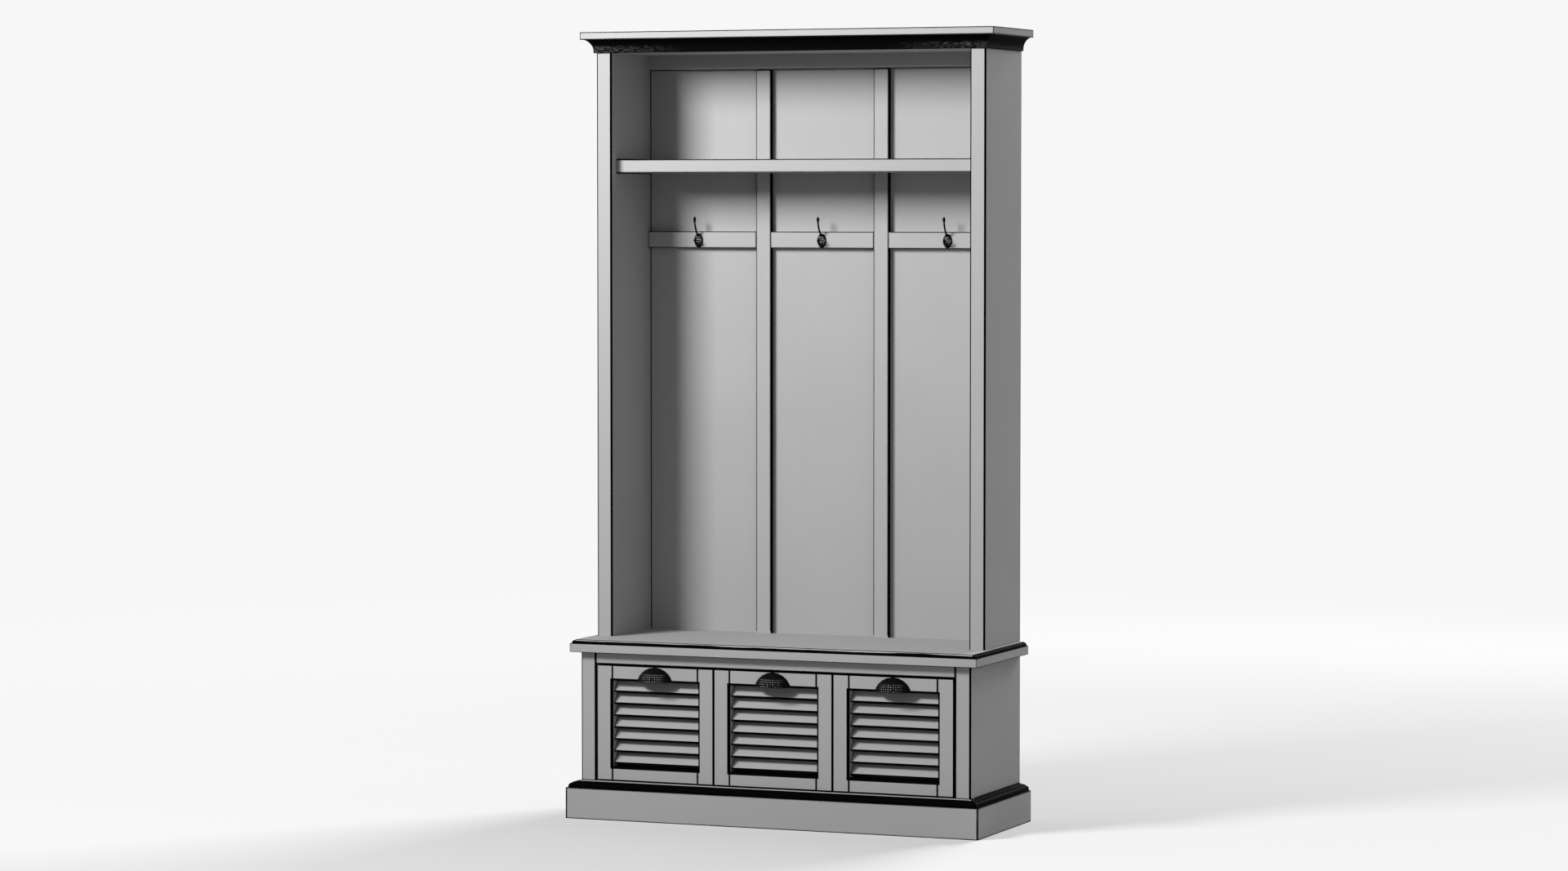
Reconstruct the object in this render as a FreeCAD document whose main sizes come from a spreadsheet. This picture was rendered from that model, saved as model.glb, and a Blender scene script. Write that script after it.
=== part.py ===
# Hall stand in painted wood: a bench with three louvred drawers, and a hutch over it with a shelf
# and coat hooks. Millimetres. The origin lies on the floor under the middle of the stand,
# +X runs to the right, -Y towards the person who stands in front of it, and +Z up.
import FreeCAD
import Part
import Sketcher
import math
import os
from types import SimpleNamespace

# Driving dimensions, one sheet cell each
DRIVING = {
    # whole stand
    "overall_height": 2000.0,
    "carcase_width": 1056.0,
    "base_depth": 362.0,
    "hutch_depth": 262.0,
    "bench_height": 456.0,
    # boards of the two carcases
    "side_thick": 42.0,
    "stile_thick": 20.0,
    "stile_round": 5.0,
    "back_thick": 6.0,
    "back_recess": 10.0,
    "housing_depth": 8.0,
    "joint_gap": 0.2,
    # cornice
    "cornice_thick": 19.0,
    "cornice_overhang": 31.5,
    "cove_height": 34.0,
    "cove_foot_proud": 5.5,
    "cove_foot_height": 6.0,
    "cove_foot_round": 2.5,
    "cove_head_proud": 24.0,
    "cove_radius": 31.0,
    "ceiling_thick": 18.0,
    # back frame, hook rail and shelf of the hutch
    "frame_thick": 16.5,
    "frame_top_height": 40.0,
    "mullion_width": 40.0,
    "hook_rail_height": 43.0,
    "hook_rail_drop": 171.5,
    "hat_space_height": 270.5,
    "shelf_thick": 34.0,
    "shelf_setback": 31.0,
    "shelf_round": 2.0,
    # coat hooks
    "hook_offset": 9.0,
    "hook_drop": 2.0,
    "plate_width": 26.0,
    "plate_height": 37.0,
    "plate_dome": 6.0,
    "plate_flat_count": 8,
    "prong_diameter": 4.6,
    "prong_foot_out": 2.0,
    "prong_foot_up": 10.0,
    "prong_tip_out": 26.5,
    "prong_tip_up": 49.0,
    "prong_bend": 60.0,
    "acorn_diameter": 7.6,
    "acorn_length": 14.5,
    "peg_foot_drop": 5.0,
    "peg_tip_out": 23.0,
    "peg_tip_drop": 2.5,
    "peg_bend": 15.0,
    "ball_diameter": 9.0,
    "knob_tip_diameter": 2.6,
    "knob_flat_count": 6,
    "prong_flat_count": 10,
    "screw_spacing": 17.0,
    "screw_seat": 3.0,
    "screw_head_diameter": 6.0,
    "screw_head_thick": 1.5,
    "screw_shank_diameter": 3.2,
    "screw_bite": 12.0,
    # bench top and front rail
    "bench_thick": 31.5,
    "bench_side_overhang": 22.0,
    "bench_front_overhang": 21.0,
    "bench_edge_step": 4.0,
    "bench_edge_quirk": 1.0,
    "bench_edge_round": 7.3,
    "bench_edge_fillet": 1.2,
    "top_rail_height": 29.0,
    # plinth and its moulded cap frame
    "plinth_height": 79.0,
    "plinth_proud": 30.0,
    "plinth_thick": 22.0,
    "plinth_round": 1.5,
    "cap_thick": 17.0,
    "cap_width": 95.0,
    "cap_proud": 25.0,
    "cap_foot_height": 3.0,
    "cap_round": 9.0,
    "cap_neck_height": 1.5,
    # inside of the base
    "floor_thick": 16.0,
    "partition_thick": 20.0,
    # drawer fronts
    "drawer_gap": 3.5,
    "drawer_front_thick": 40.0,
    "drawer_back_gap": 2.0,
    "front_stile_width": 42.0,
    "front_rail_height": 39.0,
    "front_foot_height": 35.0,
    "front_arris_round": 1.5,
    "opening_round": 7.0,
    "joint_groove_depth": 2.0,
    "slat_thick": 6.0,
    "slat_run": 20.0,
    "slat_rise": 21.0,
    "slat_setback": 12.0,
    "slat_tenon": 6.0,
    "slat_foot_gap": 5.8,
    "slat_head_gap": 2.7,
    "slat_count": 7,
    # drawer boxes and their runners
    "box_wall": 12.0,
    "box_top_drop": 31.0,
    "box_lift": 6.0,
    "box_side_gap": 7.0,
    "box_rear_gap": 16.0,
    "box_panel_thick": 6.0,
    "box_panel_lift": 8.0,
    "box_panel_groove": 6.0,
    "tail_count": 5,
    "tail_width": 32.0,
    "tail_flare": 4.0,
    "runner_height": 16.0,
    "runner_bite": 5.5,
    "runner_stop": 30.0,
    "runner_top_gap": 0.3,
    "runner_foot_gap": 0.7,
    # cup pulls
    "pull_width": 95.0,
    "pull_height": 37.0,
    "pull_reach": 27.0,
    "pull_flat_count": 10,
    "pull_wall": 2.5,
    "pull_lift": 1.0,
    "pull_boss_spacing": 64.0,
    "pull_boss_height": 14.0,
    "pull_boss_diameter": 9.0,
    # how far a cutting shape runs past the wood
    "overrun": 5.0,
}
SIDES = {"left": -1, "right": 1}
BAYS = {"left": -1, "centre": 0, "right": 1}

document = FreeCAD.newDocument("hall_stand")
sheet = document.addObject("Spreadsheet::Sheet", "dims")
for row, (alias, number) in enumerate(DRIVING.items(), start=1):
    sheet.set(f"A{row}", alias)
    sheet.set(f"B{row}", str(number))
    sheet.setAlias(f"B{row}", alias)
document.recompute()


# Sizes that know both their value and the sheet expression behind it
def value_of(size):
    return size.value if isinstance(size, Size) else size


def text_of(size):
    return size.text if isinstance(size, Size) else str(size)


class Size:
    """A length worked out from the sheet: its value for drawing, its text for setExpression."""

    def __init__(self, value, text):
        self.value = value
        self.text = text

    def __add__(self, other):
        return Size(self.value + value_of(other), f"({self.text} + {text_of(other)})")

    def __sub__(self, other):
        return Size(self.value - value_of(other), f"({self.text} - {text_of(other)})")

    def __rsub__(self, other):
        return Size(value_of(other) - self.value, f"({text_of(other)} - {self.text})")

    def __mul__(self, factor):
        return Size(self.value * value_of(factor), f"({self.text} * {text_of(factor)})")

    def __truediv__(self, divisor):
        return Size(self.value / value_of(divisor), f"({self.text} / {text_of(divisor)})")

    def __neg__(self):
        return self * -1

    def root(self):
        return Size(math.sqrt(self.value), f"sqrt({self.text})")

    __radd__ = __add__
    __rmul__ = __mul__


dim = SimpleNamespace(**{
    alias: Size(number, f"dims.{alias}") for alias, number in DRIVING.items()})

sub_parts = []


def bind(thing, setting, size):
    thing.setExpression(setting, text_of(size))


def keep(thing, label):
    """Count a finished object as a sub-part under the label that names its file."""
    thing.Label = label
    sub_parts.append(thing)
    return thing


# Plain boards
def block(name, low, high):
    """A sawn board between its low and high corner, each given as x, y, z."""
    box = document.addObject("Part::Box", name)
    for side, axis, start, end in zip(("Length", "Width", "Height"), "xyz", low, high):
        bind(box, side, end - start)
        bind(box, f"Placement.Base.{axis}", start)
    return box


def board(name, low, high):
    return keep(block(name, low, high), name)


# Bodies and the outlines that they are padded from
def new_body(name):
    body = document.addObject("PartDesign::Body", name)
    body.AllowCompound = True
    return body


def origin_part(body, role):
    return next(part for part in body.Origin.OriginFeatures if part.Role == role)


def new_sketch(body, plane, offset=0):
    sketch = body.newObject("Sketcher::SketchObject", f"{body.Name}_outline")
    sketch.AttachmentSupport = [(origin_part(body, plane), "")]
    sketch.MapMode = "FlatFace"
    bind(sketch, "AttachmentOffset.Base.z", offset)
    return sketch


def constrain(sketch, kind, *arguments):
    """Add a dimension whose last argument is a size, and tie it to the sheet."""
    places, size = arguments[:-1], arguments[-1]
    index = sketch.addConstraint(Sketcher.Constraint(kind, *places, float(value_of(size))))
    bind(sketch, f"Constraints[{index}]", size)


def rounded(x, y, radius):
    """A right-angled corner of an outline, rounded off."""
    return (x, y, "rounded", radius)


def bent(x, y, radius):
    """A corner that an arc leaves for the next one: a minus radius bends it into the wood."""
    return (x, y, "bent", radius)


def sign(number):
    return (number > 0) - (number < 0)


def with_round_corners(corners):
    """The corners with each rounded one replaced by the two ends of its arc."""
    places = [(value_of(corner[0]), value_of(corner[1])) for corner in corners]
    area = sum(a[0] * b[1] - b[0] * a[1] for a, b in zip(places, places[1:] + places[:1]))
    turn = sign(area)
    result = []
    for i, corner in enumerate(corners):
        if len(corner) == 2 or corner[2] == "bent":
            result.append(corner)
            continue
        x, y, _, radius = corner
        here, before, after = places[i], places[i - 1], places[(i + 1) % len(places)]
        arrive = (sign(before[0] - here[0]), sign(before[1] - here[1]))
        leave = (sign(after[0] - here[0]), sign(after[1] - here[1]))
        bend = sign(leave[0] * arrive[1] - leave[1] * arrive[0]) * turn
        result.append(bent(x + radius * arrive[0], y + radius * arrive[1], radius * bend))
        result.append((x + radius * leave[0], y + radius * leave[1]))
    return result, turn


def outline(sketch, corners):
    """Draw one closed outline through the corners, every corner tied to the sheet."""
    corners, turn = with_round_corners(corners)
    first = sketch.GeometryCount
    count = len(corners)
    starts = []
    for i, corner in enumerate(corners):
        following = corners[(i + 1) % count]
        start = FreeCAD.Vector(value_of(corner[0]), value_of(corner[1]), 0)
        end = FreeCAD.Vector(value_of(following[0]), value_of(following[1]), 0)
        if len(corner) == 2:
            sketch.addGeometry(Part.LineSegment(start, end))
            starts.append((1, 2))
            continue
        radius = value_of(corner[3])
        chord = end - start
        drop = math.sqrt(max(radius * radius - chord.Length * chord.Length / 4, 0))
        anticlockwise = sign(radius) * turn > 0
        inward = FreeCAD.Vector(-chord.y, chord.x, 0).normalize() * (1 if anticlockwise else -1)
        centre = (start + end) / 2 + inward * drop
        angles = [math.atan2(p.y - centre.y, p.x - centre.x) for p in (start, end)]
        if not anticlockwise:
            angles.reverse()
        circle = Part.Circle(centre, FreeCAD.Vector(0, 0, 1), abs(radius))
        sketch.addGeometry(Part.ArcOfCircle(circle, *angles))
        starts.append((1, 2) if anticlockwise else (2, 1))
    for i, corner in enumerate(corners):
        here, following = first + i, first + (i + 1) % count
        joint = (here, starts[i][1], following, starts[(i + 1) % count][0])
        sketch.addConstraint(Sketcher.Constraint("Coincident", *joint))
        constrain(sketch, "DistanceX", -1, 1, here, starts[i][0], corner[0])
        constrain(sketch, "DistanceY", -1, 1, here, starts[i][0], corner[1])
        if len(corner) == 4:
            radius = corner[3]
            constrain(sketch, "Radius", here, radius if value_of(radius) > 0 else -radius)


def circle(sketch, x, y, diameter):
    centre = FreeCAD.Vector(value_of(x), value_of(y), 0)
    index = sketch.GeometryCount
    radius = value_of(diameter) / 2
    sketch.addGeometry(Part.Circle(centre, FreeCAD.Vector(0, 0, 1), radius))
    constrain(sketch, "DistanceX", -1, 1, index, 3, x)
    constrain(sketch, "DistanceY", -1, 1, index, 3, y)
    constrain(sketch, "Diameter", index, diameter)


def rectangle(low_x, low_y, high_x, high_y):
    return [(low_x, low_y), (high_x, low_y), (high_x, high_y), (low_x, high_y)]


def pad(body, plane, low, high, *outlines):
    """Fill the outlines between two places along the plane's normal axis."""
    backwards = plane == "XZ_Plane"
    sketch = new_sketch(body, plane, -high if backwards else low)
    for corners in outlines:
        outline(sketch, corners)
    feature = body.newObject("PartDesign::Pad", f"{body.Name}_pad")
    feature.Profile = sketch
    bind(feature, "Length", high - low)
    return feature


def pocket(body, plane, low, high, outlines=(), circles=()):
    """Cut the outlines and circles away between two places along the plane's normal axis."""
    backwards = plane == "XZ_Plane"
    sketch = new_sketch(body, plane, -low if backwards else high)
    for corners in outlines:
        outline(sketch, corners)
    for x, y, diameter in circles:
        circle(sketch, x, y, diameter)
    feature = body.newObject("PartDesign::Pocket", f"{body.Name}_pocket")
    feature.Profile = sketch
    bind(feature, "Length", high - low)
    return feature


def repeat(body, feature, axis, pitch, count):
    """Set copies of a feature along an origin axis, the first where the feature is."""
    pattern = body.newObject("PartDesign::LinearPattern", f"{body.Name}_row")
    pattern.Originals = [feature]
    pattern.Direction = (origin_part(body, axis), [""])
    bind(pattern, "Length", pitch * (count - 1))
    bind(pattern, "Occurrences", count)
    body.Tip = pattern
    return pattern


def mitre(side, corner_x, corner_y, width, front_piece):
    """Cut a frame piece off at 45 degrees, from its outer corner in towards the carcase."""
    over = dim.overrun
    near = (side * (corner_x + over), corner_y - over)
    far = (side * (corner_x - width - over), corner_y + width + over)
    off_cut = (near[0], far[1]) if front_piece else (far[0], near[1])
    return near, off_cut, far


# Levels, faces and centre lines that several pieces share
back_y = (dim.base_depth + dim.plinth_proud) / 2
base_front_y = back_y - dim.base_depth
hutch_front_y = back_y - dim.hutch_depth
panel_front_y = back_y - dim.back_recess - dim.back_thick
frame_front_y = panel_front_y - dim.frame_thick
side_outer_x = dim.carcase_width / 2
side_inner_x = side_outer_x - dim.side_thick
housing_x = side_inner_x + dim.housing_depth
carcase_foot_z = dim.plinth_height + dim.cap_thick
bench_under_z = dim.bench_height - dim.bench_thick
cornice_under_z = dim.overall_height - dim.cornice_thick
ceiling_z = cornice_under_z - dim.cove_height
mullion_x = side_inner_x / 3


# Side boards, front stiles and back panels of the base and the hutch
def side_board(name, side, front_y, low_z, high_z):
    """A thick side board, grooved from end to end for the back panel."""
    groove_y = panel_front_y + dim.back_thick + dim.joint_gap
    groove_x = side * (housing_x + dim.joint_gap)
    inner_x = side * side_inner_x
    outer_x = side * side_outer_x
    body = new_body(name)
    pad(body, "XY_Plane", low_z, high_z, [
        (outer_x, front_y), (outer_x, back_y), (inner_x, back_y), (inner_x, groove_y),
        (groove_x, groove_y), (groove_x, panel_front_y), (inner_x, panel_front_y),
        (inner_x, front_y)])
    return keep(body, name)


def front_stile(name, side, front_y, low_z, high_z):
    """The solid lipping on a side board's front edge, with both its front arrises rounded."""
    body = new_body(name)
    pad(body, "XY_Plane", low_z, high_z, [
        rounded(side * side_outer_x, front_y, dim.stile_round),
        (side * side_outer_x, front_y + dim.stile_thick),
        (side * side_inner_x, front_y + dim.stile_thick),
        rounded(side * side_inner_x, front_y, dim.stile_round)])
    keep(body, name)


def back_panel(name, low_z, high_z):
    board(name, (-housing_x, panel_front_y, low_z),
          (housing_x, panel_front_y + dim.back_thick, high_z))


shelf_top_z = ceiling_z - dim.hat_space_height
shelf_under_z = shelf_top_z - dim.shelf_thick
shelf_front_y = hutch_front_y + dim.shelf_setback
for word, side in SIDES.items():
    front_stile(f"base_stile_{word}", side, base_front_y, carcase_foot_z, bench_under_z)
    front_stile(f"hutch_stile_{word}", side, hutch_front_y, dim.bench_height, cornice_under_z)
    side_board(f"base_side_{word}", side, base_front_y + dim.stile_thick,
               carcase_foot_z, bench_under_z)
    hutch_side = side_board(f"hutch_side_{word}", side, hutch_front_y + dim.stile_thick,
                            dim.bench_height, cornice_under_z)
    housing_ends = sorted((side * (side_inner_x - dim.overrun),
                           side * (housing_x + dim.joint_gap)), key=value_of)
    pocket(hutch_side, "YZ_Plane", *housing_ends, outlines=[rectangle(
        shelf_front_y, shelf_under_z, panel_front_y, shelf_top_z + dim.joint_gap)])
back_panel("base_back_panel", carcase_foot_z, bench_under_z)
back_panel("hutch_back_panel", dim.bench_height, cornice_under_z)


# Cornice: a top board over a cove moulding that is mitred round three sides
def cove_section(face, out):
    """The cove's section: face is the carcase's face, out is +1 or -1 away from it."""
    foot = face + dim.cove_foot_proud * out
    head = face + dim.cove_head_proud * out
    return [
        (face, cornice_under_z), (face, ceiling_z), rounded(foot, ceiling_z, dim.cove_foot_round),
        bent(foot, ceiling_z + dim.cove_foot_height, -dim.cove_radius), (head, cornice_under_z)]


cove_corner_x = side_outer_x + dim.cove_head_proud
cove_corner_y = hutch_front_y - dim.cove_head_proud
cove_front = new_body("cornice_cove_front")
pad(cove_front, "YZ_Plane", -cove_corner_x, cove_corner_x, cove_section(hutch_front_y, -1))
pocket(cove_front, "XY_Plane", ceiling_z - dim.overrun, cornice_under_z + dim.overrun, outlines=[
    mitre(side, cove_corner_x, cove_corner_y, dim.cove_head_proud, True)
    for side in SIDES.values()])
keep(cove_front, "cornice_cove_front")
for word, side in SIDES.items():
    cove_side = new_body(f"cornice_cove_{word}")
    pad(cove_side, "XZ_Plane", cove_corner_y, back_y, cove_section(side * side_outer_x, side))
    pocket(cove_side, "XY_Plane", ceiling_z - dim.overrun, cornice_under_z + dim.overrun,
           outlines=[mitre(side, cove_corner_x, cove_corner_y,
                           dim.cove_head_proud, False)])
    keep(cove_side, f"cornice_cove_{word}")
cornice_x = side_outer_x + dim.cornice_overhang
board("cornice_top_board", (-cornice_x, hutch_front_y - dim.cornice_overhang, cornice_under_z),
      (cornice_x, back_y, dim.overall_height))
board("hutch_head_rail", (-side_inner_x, hutch_front_y, ceiling_z),
      (side_inner_x, hutch_front_y + dim.stile_thick, cornice_under_z))
board("hutch_ceiling_panel", (-side_inner_x, hutch_front_y + dim.stile_thick, ceiling_z),
      (side_inner_x, panel_front_y, ceiling_z + dim.ceiling_thick))

# Back frame: a top rail, two mullions from the bench up to it, and hook rails between them
frame_top_z = ceiling_z - dim.frame_top_height
board("back_frame_top_rail", (-side_inner_x, frame_front_y, frame_top_z),
      (side_inner_x, panel_front_y, ceiling_z))
mullion_half = dim.mullion_width / 2
for word, side in SIDES.items():
    board(f"back_frame_mullion_{word}",
          (mullion_x * side - mullion_half, frame_front_y, dim.bench_height),
          (mullion_x * side + mullion_half, panel_front_y, frame_top_z))
hook_rail_z = shelf_under_z - dim.hook_rail_drop
hook_rail_low_z = hook_rail_z - dim.hook_rail_height / 2
hook_rail_high_z = hook_rail_z + dim.hook_rail_height / 2
hook_z = hook_rail_z - dim.hook_drop
hook_rails = new_body("hook_rails")
mullion_near_x = mullion_x - mullion_half
mullion_far_x = mullion_x + mullion_half
outer_hook_x = (side_inner_x + mullion_far_x) / 2 + dim.hook_offset
screw_places = [outer_hook_x * bay + dim.screw_spacing / 2 * end
                for bay in BAYS.values() for end in SIDES.values()]
pad(hook_rails, "XZ_Plane", frame_front_y, panel_front_y,
    rectangle(-side_inner_x, hook_rail_low_z, -mullion_far_x, hook_rail_high_z),
    rectangle(-mullion_near_x, hook_rail_low_z, mullion_near_x, hook_rail_high_z),
    rectangle(mullion_far_x, hook_rail_low_z, side_inner_x, hook_rail_high_z))
pocket(hook_rails, "XZ_Plane", frame_front_y, frame_front_y + dim.screw_bite + dim.joint_gap,
       circles=[(x, hook_z, dim.screw_shank_diameter + dim.joint_gap) for x in screw_places])
keep(hook_rails, "hook_rails")

# Shelf: housed in the sides, with a rounded front and notches that pass the mullions
notch_y = frame_front_y - dim.joint_gap
notch_near_x = mullion_near_x - dim.joint_gap
notch_far_x = mullion_far_x + dim.joint_gap
shelf = new_body("upper_shelf")
pad(shelf, "YZ_Plane", -housing_x, housing_x, [
    rounded(shelf_front_y, shelf_under_z, dim.shelf_round), (panel_front_y, shelf_under_z),
    (panel_front_y, shelf_top_z), rounded(shelf_front_y, shelf_top_z, dim.shelf_round)])
pocket(shelf, "XY_Plane", shelf_under_z - dim.overrun, shelf_top_z + dim.overrun, outlines=[
    rectangle(-notch_far_x, notch_y, -notch_near_x, panel_front_y + dim.overrun),
    rectangle(notch_near_x, notch_y, notch_far_x, panel_front_y + dim.overrun)])
keep(shelf, "upper_shelf")


# Coat hooks: a domed plate, a long prong with an acorn tip and a short peg with a ball
def pipe(body, start, end, radius):
    """A bar in narrow flats along one arc in the middle plane, whose ends are given as y and z."""
    spine = new_sketch(body, "YZ_Plane")
    places = [FreeCAD.Vector(value_of(y), value_of(z), 0) for y, z in (start, end)]
    chord = places[1] - places[0]
    reach = value_of(radius)
    drop = math.sqrt(max(reach * reach - chord.Length * chord.Length / 4, 0))
    centre = (places[0] + places[1]) / 2 + FreeCAD.Vector(chord.y, -chord.x, 0).normalize() * drop
    angles = [math.atan2(p.y - centre.y, p.x - centre.x) for p in reversed(places)]
    arc = Part.Circle(centre, FreeCAD.Vector(0, 0, 1), reach)
    spine.addGeometry(Part.ArcOfCircle(arc, *angles))
    for end_number, (y, z) in ((2, start), (1, end)):
        constrain(spine, "DistanceX", -1, 1, 0, end_number, y)
        constrain(spine, "DistanceY", -1, 1, 0, end_number, z)
    constrain(spine, "Radius", 0, radius)
    section = body.newObject("Sketcher::SketchObject", f"{body.Name}_section")
    section.AttachmentSupport = [(spine, "Edge1"), (spine, "Vertex2")]
    section.MapMode = "NormalToEdge"
    turn = math.tau / dim.prong_flat_count.value
    outline(section, [
        (dim.prong_diameter / 2 * math.cos(turn * i), dim.prong_diameter / 2 * math.sin(turn * i))
        for i in range(dim.prong_flat_count.value)])
    feature = body.newObject("PartDesign::AdditivePipe", f"{body.Name}_bar")
    feature.Profile = section
    feature.Spine = (spine, ["Edge1"])
    return feature


def bulge(half, rise):
    """The radius of an arc that rises by the rise over the middle of a chord."""
    return (rise * rise + half * half) / (rise * 2)


def barrel(half, end_radius, rise, flats):
    """A barrel's outline in narrow flats, as places along its axis and radii there."""
    radius = bulge(half, rise)
    line = []
    for step in range(flats + 1):
        along = half * math.sin(math.pi * (step / flats - 1 / 2))
        line.append((along, end_radius + rise - radius + (radius * radius - along * along).root()))
    return line


def turned_barrel(body, centre_y, centre_z, line):
    """Turn a solid about an upright axis in the middle plane, with the line as its outline."""
    section = new_sketch(body, "YZ_Plane")
    bind(section, "AttachmentOffset.Base.x", centre_y)
    bind(section, "AttachmentOffset.Base.y", centre_z)
    outline(section, [(0, line[0][0])] + [(-radius, along) for along, radius in line]
            + [(0, line[-1][0])])
    turned = body.newObject("PartDesign::Revolution", f"{body.Name}_turned")
    turned.Profile = section
    turned.ReferenceAxis = (section, ["V_Axis"])


def knob(body, centre_y, centre_z, diameter, height):
    end_radius = dim.knob_tip_diameter / 2
    turned_barrel(body, centre_y, centre_z, barrel(
        height / 2, end_radius, diameter / 2 - end_radius, dim.knob_flat_count.value))


def coat_hook(word, bay):
    body = new_body(f"coat_hook_{word}")
    plate_axis_y = bulge(dim.plate_width / 2, dim.plate_dome) - dim.plate_dome
    turned_barrel(body, plate_axis_y, 0, barrel(
        dim.plate_height / 2, plate_axis_y, dim.plate_dome, dim.plate_flat_count.value))
    pipe(body, (-dim.prong_foot_out, dim.prong_foot_up), (-dim.prong_tip_out, dim.prong_tip_up),
         dim.prong_bend)
    knob(body, -dim.prong_tip_out, dim.prong_tip_up + dim.acorn_length / 3, dim.acorn_diameter,
         dim.acorn_length)
    pipe(body, (-dim.prong_foot_out, -dim.peg_foot_drop), (-dim.peg_tip_out, -dim.peg_tip_drop),
         dim.peg_bend)
    knob(body, -dim.peg_tip_out, dim.ball_diameter / 3 - dim.peg_tip_drop, dim.ball_diameter,
         dim.ball_diameter)
    half = dim.plate_height
    pocket(body, "XZ_Plane", 0, half, outlines=[rectangle(-half, -half, half, half)])
    ends = [dim.screw_spacing / 2 * end for end in SIDES.values()]
    pocket(body, "XZ_Plane", -half, 0,
           circles=[(x, 0, dim.screw_shank_diameter + dim.joint_gap) for x in ends])
    pocket(body, "XZ_Plane", -half, -dim.screw_seat,
           circles=[(x, 0, dim.screw_head_diameter + dim.joint_gap) for x in ends])
    bind(body, "Placement.Base.x", outer_hook_x * bay)
    bind(body, "Placement.Base.y", frame_front_y)
    bind(body, "Placement.Base.z", hook_z)
    keep(body, f"coat_hook_{word}")


for word, bay in BAYS.items():
    coat_hook(word, bay)
screws = new_body("hook_screws")
screw_seat_y = frame_front_y - dim.screw_seat
for places, low, high, diameter in (
        (screw_places, screw_seat_y, frame_front_y + dim.screw_bite, dim.screw_shank_diameter),
        (screw_places, screw_seat_y - dim.screw_head_thick, screw_seat_y,
         dim.screw_head_diameter)):
    turned = new_sketch(screws, "XZ_Plane", -high)
    for x in places:
        circle(turned, x, hook_z, diameter)
    length = screws.newObject("PartDesign::Pad", "hook_screws_pad")
    length.Profile = turned
    bind(length, "Length", high - low)
keep(screws, "hook_screws")

# Bench top: one board with a thumb moulding on its front and both ends, which is a small
# fillet, a quarter round, a quirk and a step
bench_x = side_outer_x + dim.bench_side_overhang
bench_front_y = base_front_y - dim.bench_front_overhang
bench_round_z = dim.bench_height - dim.bench_edge_fillet
bench_quirk_z = bench_round_z - dim.bench_edge_round
bench_step_z = bench_quirk_z - dim.bench_edge_quirk
bench_inset = dim.bench_edge_step + dim.bench_edge_round
bench = new_body("bench_top")
pad(bench, "YZ_Plane", -bench_x, bench_x, [
    (back_y, bench_under_z), (back_y, dim.bench_height),
    (bench_front_y + bench_inset, dim.bench_height),
    bent(bench_front_y + bench_inset, bench_round_z, dim.bench_edge_round),
    (bench_front_y + dim.bench_edge_step, bench_quirk_z),
    (bench_front_y + dim.bench_edge_step, bench_step_z), (bench_front_y, bench_step_z),
    (bench_front_y, bench_under_z)])
pocket(bench, "XZ_Plane", bench_front_y - dim.overrun, back_y + dim.overrun, outlines=[[
    (side * (bench_x + dim.overrun), bench_step_z),
    (side * (bench_x - dim.bench_edge_step), bench_step_z),
    bent(side * (bench_x - dim.bench_edge_step), bench_quirk_z, -dim.bench_edge_round),
    (side * (bench_x - bench_inset), bench_round_z),
    (side * (bench_x - bench_inset), dim.bench_height + dim.overrun),
    (side * (bench_x + dim.overrun), dim.bench_height + dim.overrun)]
    for side in SIDES.values()])
keep(bench, "bench_top")
top_rail = new_body("base_top_rail")
top_rail_z = bench_under_z - dim.top_rail_height
pad(top_rail, "YZ_Plane", -side_inner_x, side_inner_x, [
    rounded(base_front_y, top_rail_z, dim.shelf_round),
    (base_front_y + dim.stile_thick, top_rail_z), (base_front_y + dim.stile_thick, bench_under_z),
    (base_front_y, bench_under_z)])
keep(top_rail, "base_top_rail")

# Plinth: boards on edge, mitred at the front corners, under a cap frame with a moulded edge
plinth_x = side_outer_x + dim.plinth_proud
plinth_front_y = base_front_y - dim.plinth_proud
plinth_front = new_body("plinth_front")
pad(plinth_front, "YZ_Plane", -plinth_x, plinth_x, [
    (plinth_front_y, 0), (plinth_front_y + dim.plinth_thick, 0),
    (plinth_front_y + dim.plinth_thick, dim.plinth_height),
    rounded(plinth_front_y, dim.plinth_height, dim.plinth_round)])
pocket(plinth_front, "XY_Plane", -dim.overrun, dim.plinth_height + dim.overrun, outlines=[
    mitre(side, plinth_x, plinth_front_y, dim.plinth_thick, True)
    for side in SIDES.values()])
keep(plinth_front, "plinth_front")
plinth_inner_x = plinth_x - dim.plinth_thick
board("plinth_back", (-plinth_inner_x, back_y - dim.plinth_thick, 0),
      (plinth_inner_x, back_y, dim.plinth_height))


def cap_section(face, out):
    """The cap frame's section: face is the carcase's face, out is +1 or -1 away from it."""
    edge = face + dim.cap_proud * out
    neck = edge - dim.cap_round * out
    inner = edge - dim.cap_width * out
    neck_z = dim.plinth_height + dim.cap_foot_height + dim.cap_round
    return [
        (inner, dim.plinth_height), (edge, dim.plinth_height),
        bent(edge, dim.plinth_height + dim.cap_foot_height, dim.cap_round), (neck, neck_z),
        (neck, neck_z + dim.cap_neck_height), (face, carcase_foot_z), (inner, carcase_foot_z)]


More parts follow.
